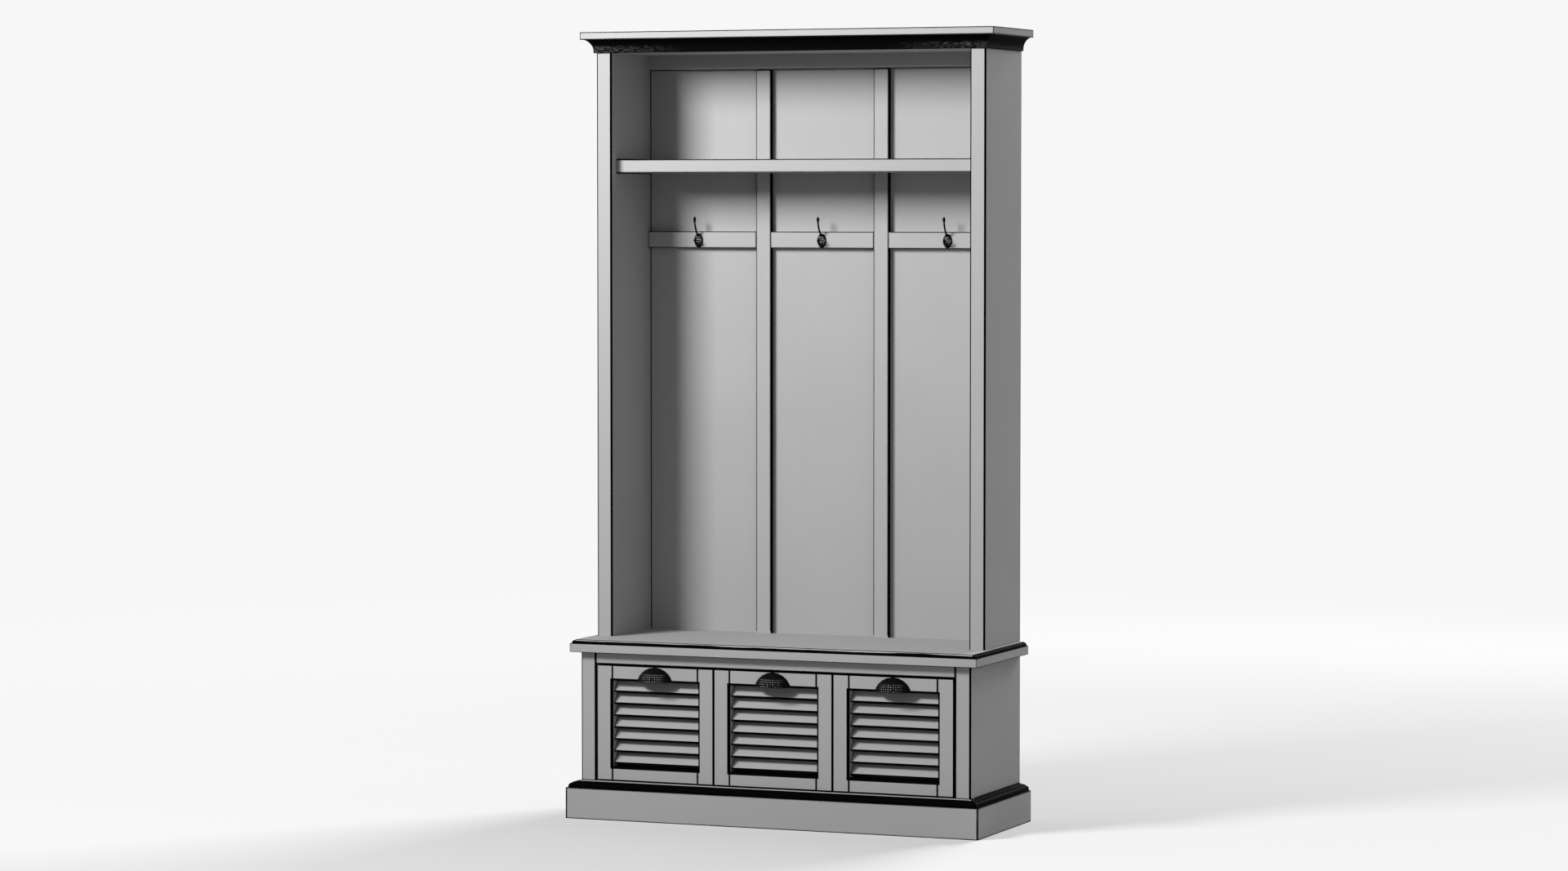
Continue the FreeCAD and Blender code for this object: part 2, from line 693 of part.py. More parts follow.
cap_corner_x = side_outer_x + dim.cap_proud
cap_corner_y = base_front_y - dim.cap_proud
cap_front = new_body("plinth_cap_front")
pad(cap_front, "YZ_Plane", -cap_corner_x, cap_corner_x, cap_section(base_front_y, -1))
pocket(cap_front, "XY_Plane", dim.plinth_height - dim.overrun, carcase_foot_z + dim.overrun,
       outlines=[mitre(side, cap_corner_x, cap_corner_y, dim.cap_width, True)
                 for side in SIDES.values()])
keep(cap_front, "plinth_cap_front")
for word, side in SIDES.items():
    plinth_side = new_body(f"plinth_{word}")
    pad(plinth_side, "XZ_Plane", plinth_front_y, back_y, [
        (side * plinth_x, 0), (side * plinth_inner_x, 0),
        (side * plinth_inner_x, dim.plinth_height),
        rounded(side * plinth_x, dim.plinth_height, dim.plinth_round)])
    pocket(plinth_side, "XY_Plane", -dim.overrun, dim.plinth_height + dim.overrun, outlines=[
        mitre(side, plinth_x, plinth_front_y, dim.plinth_thick, False)])
    keep(plinth_side, f"plinth_{word}")
    cap_side = new_body(f"plinth_cap_{word}")
    pad(cap_side, "XZ_Plane", cap_corner_y, back_y, cap_section(side * side_outer_x, side))
    pocket(cap_side, "XY_Plane", dim.plinth_height - dim.overrun, carcase_foot_z + dim.overrun,
           outlines=[mitre(side, cap_corner_x, cap_corner_y, dim.cap_width, False)])
    keep(cap_side, f"plinth_cap_{word}")
cap_inner_x = cap_corner_x - dim.cap_width
board("plinth_cap_back", (-cap_inner_x, back_y - dim.cap_width, dim.plinth_height),
      (cap_inner_x, back_y, carcase_foot_z))

# Inside the base: a floor, and two partitions that divide it into three equal bays
drawer_back_y = base_front_y + dim.drawer_front_thick
bay_front_y = drawer_back_y + dim.drawer_back_gap
bay_floor_z = carcase_foot_z + dim.floor_thick
board("base_floor_panel", (-side_inner_x, bay_front_y, carcase_foot_z),
      (side_inner_x, panel_front_y, bay_floor_z))
bay_width = (side_inner_x * 2 - dim.partition_thick * 2) / 3
bay_pitch = bay_width + dim.partition_thick
for word, side in SIDES.items():
    partition_x = bay_pitch / 2 * side
    board(f"base_partition_{word}",
          (partition_x - dim.partition_thick / 2, bay_front_y, bay_floor_z),
          (partition_x + dim.partition_thick / 2, panel_front_y, bench_under_z))

# Drawer runners: a hardwood strip on each bay wall, which the drawer's side groove hangs on
front_high_z = top_rail_z - dim.drawer_gap
box_half = bay_width / 2 - dim.box_side_gap
box_foot_z = bay_floor_z + dim.box_lift
box_top_z = front_high_z - dim.box_top_drop
box_back_y = panel_front_y - dim.box_rear_gap
runner_z = (box_foot_z + box_top_z) / 2
runner_low_z = runner_z - dim.runner_height / 2
runner_high_z = runner_z + dim.runner_height / 2
runner_front_y = drawer_back_y + dim.runner_stop + dim.joint_gap
runners = new_body("drawer_runners")
runner_strips = []
for bay in BAYS.values():
    for side in SIDES.values():
        wall_x = bay_pitch * bay + bay_width / 2 * side
        tip_x = bay_pitch * bay + (box_half - dim.runner_bite) * side
        low_x, high_x = sorted((wall_x, tip_x), key=value_of)
        runner_strips.append(rectangle(low_x, runner_low_z, high_x, runner_high_z))
pad(runners, "XZ_Plane", runner_front_y, panel_front_y, *runner_strips)
keep(runners, "drawer_runners")

# Drawer fronts: stiles and rails round slanting slats, whose ends sit in the stiles' mortises
front_width = (side_inner_x * 2 - dim.drawer_gap * 4) / 3
front_pitch = front_width + dim.drawer_gap
front_half = front_width / 2
opening_half = front_half - dim.front_stile_width
front_low_z = carcase_foot_z + dim.drawer_gap
opening_low_z = front_low_z + dim.front_foot_height
opening_high_z = front_high_z - dim.front_rail_height
slat_low_z = opening_low_z + dim.slat_foot_gap + dim.slat_thick / 2
slat_spread = (opening_high_z - dim.slat_head_gap - dim.slat_thick / 2 - dim.slat_rise
               - slat_low_z)
slat_pitch = slat_spread / (dim.slat_count - 1)


def slat_section(sketch, thick):
    """The round-edged section of a slat, with the two centres of its edges tied to the sheet."""
    low = (base_front_y + dim.slat_setback + dim.slat_thick / 2, slat_low_z)
    high = (low[0] + dim.slat_run, low[1] + dim.slat_rise)
    centres = [FreeCAD.Vector(value_of(y), value_of(z), 0) for y, z in (low, high)]
    along = (centres[1] - centres[0]).normalize()
    across = FreeCAD.Vector(-along.y, along.x, 0) * (value_of(thick) / 2)
    slope = math.atan2(along.y, along.x)
    half_turn, quarter_turn = math.pi, math.pi / 2
    z_axis = FreeCAD.Vector(0, 0, 1)
    nose = Part.Circle(centres[0], z_axis, value_of(thick) / 2)
    tail = Part.Circle(centres[1], z_axis, value_of(thick) / 2)
    sketch.addGeometry(Part.ArcOfCircle(nose, slope + quarter_turn,
                                        slope + quarter_turn + half_turn))
    sketch.addGeometry(Part.LineSegment(centres[0] - across, centres[1] - across))
    sketch.addGeometry(Part.ArcOfCircle(tail, slope - quarter_turn, slope + quarter_turn))
    sketch.addGeometry(Part.LineSegment(centres[1] + across, centres[0] + across))
    for joint in ((0, 2, 1, 1), (1, 2, 2, 1), (2, 2, 3, 1), (3, 2, 0, 1)):
        sketch.addConstraint(Sketcher.Constraint("Tangent", *joint))
    for arc, (y, z) in ((0, low), (2, high)):
        constrain(sketch, "DistanceX", -1, 1, arc, 3, y)
        constrain(sketch, "DistanceY", -1, 1, arc, 3, z)
    constrain(sketch, "Radius", 0, thick / 2)


def rout_front(body):
    """Rout the opening's front edge round, mitred at its corners, and the joints to a V."""
    path = new_sketch(body, "XZ_Plane", -base_front_y)
    outline(path, rectangle(-opening_half, opening_low_z, opening_half, opening_high_z))
    cutter = new_sketch(body, "YZ_Plane")
    round_y = base_front_y + dim.opening_round
    round_z = opening_low_z - dim.opening_round
    clear_y = base_front_y - dim.overrun
    clear_z = opening_low_z + dim.overrun
    outline(cutter, [
        (clear_y, round_z), bent(base_front_y, round_z, -dim.opening_round),
        (round_y, opening_low_z), (round_y, clear_z), (clear_y, clear_z)])
    routed = body.newObject("PartDesign::SubtractivePipe", f"{body.Name}_routed")
    routed.Profile = cutter
    routed.Spine = (path, ["Edge1", "Edge2", "Edge3", "Edge4"])
    routed.Transition = "Right corner"
    mouth = dim.joint_groove_depth + dim.overrun
    pocket(body, "XY_Plane", front_low_z - dim.overrun, front_high_z + dim.overrun, outlines=[[
        (side * opening_half - mouth, clear_y), (side * opening_half + mouth, clear_y),
        (side * opening_half, base_front_y + dim.joint_groove_depth)]
        for side in SIDES.values()])


def front_stiles(name, centre_x):
    """The two stiles, with a row of slanting mortises that faces the other stile's row."""
    body = new_body(name)
    pad(body, "XY_Plane", front_low_z, front_high_z, *[[
        rounded(side * front_half, base_front_y, dim.front_arris_round),
        (side * front_half, drawer_back_y), (side * opening_half, drawer_back_y),
        (side * opening_half, base_front_y)] for side in SIDES.values()])
    rout_front(body)
    mortise_x = opening_half + dim.slat_tenon + dim.joint_gap
    sketch = new_sketch(body, "YZ_Plane", mortise_x)
    slat_section(sketch, dim.slat_thick + dim.joint_gap)
    mortise = body.newObject("PartDesign::Pocket", f"{body.Name}_mortise")
    mortise.Profile = sketch
    bind(mortise, "Length", mortise_x * 2)
    repeat(body, mortise, "Z_Axis", slat_pitch, dim.slat_count)
    bind(body, "Placement.Base.x", centre_x)
    return keep(body, name)


def front_rails(name, centre_x):
    """The top and the bottom rail, between the stiles."""
    body = new_body(name)
    pad(body, "YZ_Plane", -opening_half, opening_half, *[[
        rounded(base_front_y, outer_z, dim.front_arris_round), (drawer_back_y, outer_z),
        (drawer_back_y, opening_z), (base_front_y, opening_z)]
        for outer_z, opening_z in ((front_low_z, opening_low_z), (front_high_z, opening_high_z))])
    rout_front(body)
    bind(body, "Placement.Base.x", centre_x)
    return keep(body, name)


def louvre_slats(name, centre_x):
    body = new_body(name)
    reach = opening_half + dim.slat_tenon
    sketch = new_sketch(body, "YZ_Plane", -reach)
    slat_section(sketch, dim.slat_thick)
    slat = body.newObject("PartDesign::Pad", f"{body.Name}_slat")
    slat.Profile = sketch
    bind(slat, "Length", reach * 2)
    repeat(body, slat, "Z_Axis", slat_pitch, dim.slat_count)
    bind(body, "Placement.Base.x", centre_x)
    return keep(body, name)


# Drawer boxes: grooved sides with dovetails at both ends, two ends with sockets, and a bottom
box_inner_x = box_half - dim.box_wall
box_groove_x = box_inner_x + dim.box_panel_groove + dim.joint_gap
box_front_inner_y = drawer_back_y + dim.box_wall
box_back_inner_y = box_back_y - dim.box_wall
box_panel_z = box_foot_z + dim.box_panel_lift
box_panel_top_z = box_panel_z + dim.box_panel_thick
box_groove_top_z = box_panel_top_z + dim.joint_gap
tail_pitch = (box_top_z - box_foot_z) / dim.tail_count


def dovetail(root_y, tip_y):
    """The lowest dovetail of a row, which widens from the side board's shoulder to its end."""
    z = box_foot_z + tail_pitch / 2
    tip_half = dim.tail_width / 2
    root_half = tip_half - dim.tail_flare
    return [(root_y, z - root_half), (tip_y, z - tip_half), (tip_y, z + tip_half),
            (root_y, z + root_half)]


dovetail_pair = [dovetail(box_front_inner_y, drawer_back_y),
                 dovetail(box_back_inner_y, box_back_y)]


def box_sides(name, centre_x):
    """Both sides, cut as one blank: tails on its ends, the middle taken out, then the grooves."""
    body = new_body(name)
    pad(body, "YZ_Plane", -box_half, box_half,
        rectangle(box_front_inner_y, box_foot_z, box_back_inner_y, box_top_z))
    tails = pad(body, "YZ_Plane", -box_half, box_half, *dovetail_pair)
    repeat(body, tails, "Z_Axis", tail_pitch, dim.tail_count)
    front_y = drawer_back_y - dim.overrun
    back_end_y = box_back_y + dim.overrun
    pocket(body, "XZ_Plane", front_y, back_end_y, outlines=[rectangle(
        -box_inner_x, box_foot_z - dim.overrun, box_inner_x, box_top_z + dim.overrun)])
    pocket(body, "XZ_Plane", front_y, back_end_y, outlines=[rectangle(
        -box_groove_x, box_panel_z, box_groove_x, box_groove_top_z)])
    near_x = box_half - dim.runner_bite - dim.joint_gap
    far_x = box_half + dim.overrun
    low_z = runner_low_z - dim.runner_foot_gap
    high_z = runner_high_z + dim.runner_top_gap
    pocket(body, "XZ_Plane", drawer_back_y + dim.runner_stop, back_end_y, outlines=[
        rectangle(-far_x, low_z, -near_x, high_z), rectangle(near_x, low_z, far_x, high_z)])
    bind(body, "Placement.Base.x", centre_x)
    return keep(body, name)


def box_ends(name, centre_x):
    """The front, grooved for the bottom, and the back, which stops above it."""
    body = new_body(name)
    pad(body, "YZ_Plane", -box_half, box_half,
        rectangle(drawer_back_y, box_foot_z, box_front_inner_y, box_top_z),
        rectangle(box_back_inner_y, box_panel_top_z, box_back_y, box_top_z))
    for low_x, high_x in ((-box_half, -box_inner_x), (box_inner_x, box_half)):
        sockets = pocket(body, "YZ_Plane", low_x, high_x, outlines=dovetail_pair)
        repeat(body, sockets, "Z_Axis", tail_pitch, dim.tail_count)
    groove_y = box_front_inner_y - dim.box_panel_groove - dim.joint_gap
    pocket(body, "YZ_Plane", -box_groove_x, box_groove_x, outlines=[rectangle(
        groove_y, box_panel_z, box_front_inner_y + dim.overrun, box_groove_top_z)])
    bind(body, "Placement.Base.x", centre_x)
    return keep(body, name)


def box_bottom(name, centre_x):
    half = box_inner_x + dim.box_panel_groove
    front_y = box_front_inner_y - dim.box_panel_groove
    board(name, (centre_x - half, front_y, box_panel_z),
          (centre_x + half, box_back_y, box_panel_top_z))


# Cup pulls: a hollow cup turned about a level axis behind the drawer's face and cut off by it,
# open below, with two bosses for screws
def turned_cup(name, half_width, reach, axis_depth):
    """A solid turned about the x axis, whose ends lie as far from it as the drawer's face."""
    body = new_body(name)
    section = new_sketch(body, "XY_Plane")
    line = barrel(half_width, axis_depth, reach, dim.pull_flat_count.value)
    outline(section, [(line[0][0], 0)] + [(along, -radius) for along, radius in line]
            + [(line[-1][0], 0)])
    turned = body.newObject("PartDesign::Revolution", f"{name}_turned")
    turned.Profile = section
    turned.ReferenceAxis = (origin_part(body, "X_Axis"), [""])
    return body


def boolean(kind, name, *things):
    """Join several things with Part::MultiFuse or MultiCommon, or cut the second from the first."""
    thing = document.addObject(f"Part::{kind}", name)
    if kind == "Cut":
        thing.Base, thing.Tool = things
    else:
        thing.Shapes = list(things)
    return thing


def cup_pull(name, centre_x):
    axis_depth = bulge(dim.pull_height, dim.pull_reach) - dim.pull_reach
    outer = turned_cup(f"{name}_outer", dim.pull_width / 2, dim.pull_reach, axis_depth)
    inner = turned_cup(f"{name}_inner", dim.pull_width / 2 - dim.pull_wall,
                       dim.pull_reach - dim.pull_wall, axis_depth)
    bosses = []
    for word, side in SIDES.items():
        boss = document.addObject("Part::Cylinder", f"{name}_boss_{word}")
        boss.Placement.Rotation = FreeCAD.Rotation(FreeCAD.Vector(1, 0, 0), 90)
        bind(boss, "Radius", dim.pull_boss_diameter / 2)
        bind(boss, "Height", dim.pull_width)
        bind(boss, "Placement.Base.x", dim.pull_boss_spacing / 2 * side)
        bind(boss, "Placement.Base.z", dim.pull_boss_height)
        bosses.append(boss)
    shell = boolean("Cut", f"{name}_shell", outer, inner)
    whole = boolean("MultiFuse", f"{name}_whole", shell, boolean(
        "MultiCommon", f"{name}_bosses", outer, boolean("MultiFuse", f"{name}_boss_pair", *bosses)))
    visible = block(f"{name}_visible", (-dim.pull_width, -dim.pull_width, 0),
                    (dim.pull_width, -axis_depth, dim.pull_width))
    pull = boolean("MultiCommon", name, whole, visible)
    for axis, where in zip("xyz", (centre_x, base_front_y + axis_depth,
                                   opening_high_z + dim.pull_lift)):
        bind(pull, f"Placement.Base.{axis}", where)
    return keep(pull, name)


for word, bay in BAYS.items():
    front_x = front_pitch * bay
    box_x = bay_pitch * bay
    front_stiles(f"drawer_{word}_front_stiles", front_x)
    front_rails(f"drawer_{word}_front_rails", front_x)
    louvre_slats(f"drawer_{word}_louvre_slats", front_x)
    box_sides(f"drawer_{word}_box_sides", box_x)
    box_ends(f"drawer_{word}_box_ends", box_x)
    box_bottom(f"drawer_{word}_box_bottom", box_x)
    cup_pull(f"drawer_{word}_cup_pull", front_x)

# Build, check and write each sub-part to its own file
document.recompute()
faults = [thing.Label for thing in document.Objects
          if {"Invalid", "Error"} & set(thing.State)]
faults += [part.Label for part in sub_parts if part.Shape.isNull() or not part.Shape.isValid()]
if faults:
    raise RuntimeError("not built: " + ", ".join(faults))
os.makedirs("parts", exist_ok=True)
for part in sub_parts:
    part.Shape.exportStep(f"parts/{part.Label}.step")
    print(part.Label, len(part.Shape.Solids), round(part.Shape.Volume))
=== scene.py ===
# Hall stand in grey paint, dressed over its CAD model: a bench with three louvred drawers, and
# a hutch over it with a shelf and coat hooks. Metres, in the frame of the CAD model, whose nodes
# stay where they are and get their finishes here.
import math

import bmesh
import bpy
from mathutils import Matrix, Vector


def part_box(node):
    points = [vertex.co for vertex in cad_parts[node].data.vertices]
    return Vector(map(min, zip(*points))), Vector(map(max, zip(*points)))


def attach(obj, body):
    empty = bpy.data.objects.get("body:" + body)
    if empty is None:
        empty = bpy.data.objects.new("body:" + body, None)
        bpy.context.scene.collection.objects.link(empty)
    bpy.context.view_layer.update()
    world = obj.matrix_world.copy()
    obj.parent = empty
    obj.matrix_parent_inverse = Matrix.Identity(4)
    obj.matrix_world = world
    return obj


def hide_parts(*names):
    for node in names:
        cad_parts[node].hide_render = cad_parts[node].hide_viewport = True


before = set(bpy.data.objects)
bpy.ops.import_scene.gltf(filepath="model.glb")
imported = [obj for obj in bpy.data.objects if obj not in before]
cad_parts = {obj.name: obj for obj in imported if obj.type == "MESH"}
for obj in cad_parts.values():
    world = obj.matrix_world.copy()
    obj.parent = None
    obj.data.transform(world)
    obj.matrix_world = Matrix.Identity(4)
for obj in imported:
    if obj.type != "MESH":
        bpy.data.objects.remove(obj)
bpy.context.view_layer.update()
mm = 0.001

# Side boards and front stiles. Planed boards with a black primer under a satin grey spray coat,
# rubbed down by hand, so that the primer shows as a thin line on each edge and covers the
# rounded arrises of the stiles.
grey = (0.38, 0.38, 0.38, 1)
grey_worn = (0.366, 0.366, 0.366, 1)
# This black is also painted shade: on mullion sides, drawer gaps, slats and box fronts.
primer_and_shade_black = (0.0015, 0.0015, 0.0015, 1)
paint_roughness = 0.62
paint_shine = 0.005
rubbed_width = 6.0 * mm


class Tone:
    """A value or colour that changes over a surface. Sums and products add Math nodes."""

    def __init__(self, socket):
        self.socket = socket

    def node(self, kind, settings, inputs, output=0):
        """Add one node beside this tone, with its settings and its sockets' values or links."""
        tree = self.socket.id_data
        made = tree.nodes.new(kind)
        for name, value in settings.items():
            setattr(made, name, value)
        for name, value in inputs.items():
            if isinstance(value, Tone):
                tree.links.new(value.socket, made.inputs[name])
            else:
                made.inputs[name].default_value = value
        return Tone(made.outputs[output])

    def maths(self, operation, *values):
        numbers = dict(enumerate((self, *values)))
        return self.node("ShaderNodeMath", {"operation": operation}, numbers)

    def __add__(self, other):
        return self.maths("ADD", other)

    def __sub__(self, other):
        return self.maths("SUBTRACT", other)

    def __rsub__(self, other):
        return (self * -1).maths("ADD", other)

    def __mul__(self, other):
        return self.maths("MULTIPLY", other)

    def __truediv__(self, other):
        return self.maths("DIVIDE", other)

    def __rtruediv__(self, other):
        return self.maths("POWER", -1.0) * other

    __radd__ = __add__
    __rmul__ = __mul__


def parts_of(vector):
    """The x, y and z of a vector tone."""
    return [vector.node("ShaderNodeSeparateXYZ", {}, {0: vector}, axis) for axis in range(3)]


def rise(tone, low, high):
    """A smooth step from 0 where the tone is at low to 1 where it is at high."""
    return tone.node("ShaderNodeMapRange", {"interpolation_type": "SMOOTHSTEP"},
                     {"Value": tone, "From Min": low, "From Max": high})


def blend(share, first, second):
    """The first colour where the share is 0, and the second where it is 1."""
    colour_a, colour_b, colour_out = 6, 7, 2
    return share.node("ShaderNodeMix", {"data_type": "RGBA"},
                      {0: share, colour_a: first, colour_b: second}, colour_out)


def streaks(place, lengths, detail=2.0):
    """Noise whose marks have the given lengths, in metres, along x, y and z."""
    stretched = place.node("ShaderNodeVectorMath", {"operation": "DIVIDE"},
                           {0: place, 1: lengths})
    return stretched.node("ShaderNodeTexNoise", {}, {
        "Vector": stretched, "Scale": 1.0, "Detail": detail})


def new_finish(name, roughness, shine, metallic=0.0):
    """A material, its shader, and the place on the stand in metres."""
    material = bpy.data.materials.new(name)
    material.use_nodes = True
    shader = material.node_tree.nodes["Principled BSDF"]
    shader.inputs["Roughness"].default_value = roughness
    shader.inputs["Specular IOR Level"].default_value = shine
    shader.inputs["Metallic"].default_value = metallic
    place = Tone(material.node_tree.nodes.new("ShaderNodeTexCoord").outputs["Object"])
    return material, shader, place


def feed(shader, name, tone):
    shader.id_data.links.new(tone.socket, shader.inputs[name])


def roughen(shader, marks, middle, spread):
    """A roughness that strays from its middle with the marks."""
    feed(shader, "Roughness", (marks - 0.5) * spread + middle)


def bump(shader, height, depth):
    """Raise the surface by depth, in metres, where the height is 1."""
    feed(shader, "Normal", height.node(
        "ShaderNodeBump", {}, {"Height": height, "Distance": depth, "Strength": 1.0}))


def facet_of(place):
    return place.node("ShaderNodeNewGeometry", {}, {}, "True Normal")


hand_length = 0.06
edge_turn = (0.010, 0.035)


def edge_lines(place, facet, width):
    """1 along the sharp edges of the piece, fading out unevenly within the width."""
    eased = place.node("ShaderNodeBevel", {"samples": 8}, {"Radius": width})
    agreement = place.node("ShaderNodeVectorMath", {"operation": "DOT_PRODUCT"},
                           {0: facet, 1: eased}, "Value")
    hand = streaks(place, (hand_length, hand_length, hand_length))
    return rise((1 - agreement) * (hand + 0.5), *edge_turn)


square_facet = (0.990, 0.998)


def off_square(place, facet):
    """1 where a facet is turned away from all three axes, as on an arris or in a V-groove."""
    shares = [part.maths("ABSOLUTE") for part in parts_of(facet)]
    squareness = shares[0].maths("MAXIMUM", shares[1]).maths("MAXIMUM", shares[2])
    return 1 - rise(squareness, *square_facet)


cloud_length = 0.30
cloud_share = 0.7
worn_range = (0.35, 0.65)
brush_mark = {"x": (0.25, 0.004, 0.004), "y": (0.004, 0.25, 0.004), "z": (0.004, 0.004, 0.25)}
brush_depth = 0.03 * mm
brush_roughness = 0.15
butt_start = 0.8


def painted(name, direction, *black_parts, width=rubbed_width, butts=()):
    """The grey paint with brush marks along x, y or z, black on its edges and some parts.

    A black part is a function of the place and the facet that gives 1 where it is black. Butts
    are the planes, each an axis and a level, where the piece was glued to its neighbour before
    it was painted, so that its edges don't show there."""
    material, shader, place = new_finish(name, paint_roughness, paint_shine)
    facet = facet_of(place)
    rubbed_and_shaded = edge_lines(place, facet, width)
    for axis, level in butts:
        away = (parts_of(place)[axis] - level).maths("ABSOLUTE")
        rubbed_and_shaded = rubbed_and_shaded * rise(away, width * butt_start, width)
    # A black part can be painted shade, as on the mullions' sides and round the drawer fronts.
    for black_part in black_parts:
        rubbed_and_shaded = rubbed_and_shaded.maths("MAXIMUM", black_part(place, facet))
    cloud = streaks(place, (cloud_length, cloud_length, cloud_length), detail=3.0)
    marks = streaks(place, brush_mark[direction], detail=3.0)
    worn = rise(cloud * cloud_share + marks * (1 - cloud_share), *worn_range)
    feed(shader, "Base Color", blend(rubbed_and_shaded, blend(worn, grey, grey_worn), primer_and_shade_black))
    roughen(shader, marks, paint_roughness, brush_roughness)
    bump(shader, marks, brush_depth)
    return material


def dress(material, *names):
    for name in names:
        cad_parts[name].material_slots[0].material = material


bench_low, bench_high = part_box("bench_top")
hutch_stile_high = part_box("hutch_stile_left")[1]
base_stile_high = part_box("base_stile_left")[1]
on_bench = (2, bench_high.z)
hutch_paint = painted("hutch_paint", "z", off_square, butts=(on_bench, (1, hutch_stile_high.y)))
base_paint = painted("base_paint", "z", off_square, butts=((1, base_stile_high.y),))
dress(hutch_paint, "hutch_side_left", "hutch_side_right", "hutch_stile_left",
      "hutch_stile_right")
dress(base_paint, "base_side_left", "base_side_right", "base_stile_left", "base_stile_right")

# Back panels and the frame in front of them. Painted ply panels slide in the sides' grooves;
# the mullions and rails stand in front, and pins hold the panels to them from behind.
side_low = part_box("hutch_side_right")[0]
top_rail_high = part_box("back_frame_top_rail")[1]
corner_line = 2.4 * mm
line_core = 0.7
mullion_side_facet = (0.6, 0.9)


def line_before(tone, level, width):
    """1 beyond a line of the given width that ends at the level, with a soft start."""
    return rise(tone, level - width, level - width * line_core)


def side_corners(place, facet):
    """1 on the back panel where it meets the side boards."""
    return line_before(parts_of(place)[0].maths("ABSOLUTE"), side_low.x, corner_line)


def painted_shade_mullion_sides(place, facet):
    """1 on the narrow faces of the mullions, which are black as painted shade."""
    return rise(parts_of(facet)[0].maths("ABSOLUTE"), *mullion_side_facet)


panel_paint = painted("panel_paint", "z", side_corners, butts=(on_bench,))
# The mullions' narrow side faces are painted shade in black.
mullion_paint = painted("mullion_paint", "z", off_square, painted_shade_mullion_sides, butts=(on_bench,))
head_paint = painted("head_paint", "x", off_square, butts=(
    (2, top_rail_high.z), (0, side_low.x), (0, -side_low.x)))
rail_paint = painted("rail_paint", "x", off_square)
dress(panel_paint, "hutch_back_panel")
dress(mullion_paint, "back_frame_mullion_left", "back_frame_mullion_right")
dress(base_paint, "base_back_panel", "base_partition_left", "base_partition_right")
dress(head_paint, "back_frame_top_rail", "hutch_ceiling_panel")
dress(rail_paint, "hook_rails", "hutch_head_rail", "base_top_rail", "base_floor_panel",
      "plinth_back", "plinth_cap_back")

# Shelf: one thick painted board, housed in the side boards and notched round the mullions,
# with its front arrises rubbed black.
dress(rail_paint, "upper_shelf")

# Cornice: a flat top board over a cove moulding, which is painted black and mitred at the
# front corners; the cutter left fine lines along it. Grey streaks on them towards the front's
# ends are a painted glint.
cove_low, cove_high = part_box("cornice_cove_front")
painted_glint_grey = (0.06, 0.06, 0.06, 1)
moulding_roughness = 0.60
moulding_shine = 0.005
cutter_mark = (0.014, 0.014, 1.4 * mm)
cutter_depth = 0.05 * mm
cutter_roughness = 0.3
glint_marks = (0.46, 0.66)
glint_reach = (0.45, 0.95)
glint_height = (14.0 * mm, 20.0 * mm)
glint_facet = (-0.5, -0.2)


def black_painted(name):
    material, shader, place = new_finish(name, moulding_roughness, moulding_shine)
    x, y, z = parts_of(place)
    cutter_lines = streaks(place, cutter_mark, detail=3.0)
    towards_ends = rise(x.maths("ABSOLUTE") / cove_high.x, *glint_reach)
    under_head = 1 - rise(z - cove_low.z, *glint_height)
    in_front = 1 - rise(parts_of(facet_of(place))[1], *glint_facet)
    # Painted glint: grey streaks on the cutter lines, low on the front and towards its ends.
    painted_glint = rise(cutter_lines, *glint_marks) * towards_ends * under_head * in_front
    feed(shader, "Base Color", blend(painted_glint, primer_and_shade_black, painted_glint_grey))
    roughen(shader, cutter_lines, moulding_roughness, cutter_roughness)
    bump(shader, cutter_lines, cutter_depth)
    return material


moulding_paint = black_painted("moulding_paint")
dress(moulding_paint, "cornice_cove_front", "cornice_cove_left", "cornice_cove_right")
dress(rail_paint, "cornice_top_board")

# Coat hooks: blackened cast iron, each in one piece with a long prong, a short peg and a
# domed plate, whose cast grid is worn bright. Two screws hold the plate to its rail.
iron_black = (0.004, 0.004, 0.004, 1)
iron_worn = (0.28, 0.28, 0.28, 1)
iron_roughness = 0.45
iron_shine = 0.02
skin_length = 0.8 * mm
skin_roughness = 0.3
wear_length = 5.0 * mm
wear_marks = (0.30, 0.55)
worn_middle = (0.40, 0.75)
worn_facet = (-0.35, -0.15)
band_core = 0.6
line_softness = 0.12
stud_share = 0.7
cast_depth = 0.15 * mm


def lines_on_dome(place, centre, pitch, radii, steps):
    """How far a point is from a grid's lines round and up an ellipsoid, from 0 to half a step.

    Domes like it stand a pitch apart. The point's shares of the radii come along."""
    x, y, z = parts_of(place)
    local_x = (x - centre[0]).maths("WRAP", pitch / 2, pitch / -2)
    share_x = local_x / radii[0]
    share_y = (centre[1] - y) / radii[1]
    share_z = (z - centre[2]) / radii[2]
    around = share_x.maths("ARCTAN2", share_y) / steps[0]
    upward = share_z.maths("MINIMUM", 1.0).maths("MAXIMUM", -1.0).maths("ARCSINE") / steps[1]
    columns = around.maths("PINGPONG", 0.5)
    rows = upward.maths("PINGPONG", 0.5)
    return columns, rows, share_x, share_z


def cast_iron(name, centre, pitch, radii, steps, line, band, reach):
    """Black iron with a grid, whose lines take a share of each step, worn within a band."""
    material, shader, place = new_finish(name, iron_roughness, iron_shine)
    columns, rows, share_x, share_z = lines_on_dome(place, centre, pitch, radii, steps)
    middle = 1 - rise(share_x.maths("ABSOLUTE"), *worn_middle)
    height = 1 - rise((share_z - band).maths("ABSOLUTE"), reach * band_core, reach)
    facing = 1 - rise(parts_of(facet_of(place))[1], *worn_facet)
    studs = (rise(columns, line, line + line_softness)
             * rise(rows, line, line + line_softness))
    wear = rise(streaks(place, (wear_length, wear_length, wear_length)), *wear_marks)
    feed(shader, "Base Color", blend(studs * middle * height * facing * wear, iron_black,
                                     iron_worn))
    skin = streaks(place, (skin_length, skin_length, skin_length), detail=3.0)
    roughen(shader, skin, iron_roughness, skin_roughness)
    bump(shader, studs * stud_share + skin * (1 - stud_share), cast_depth)
    return material


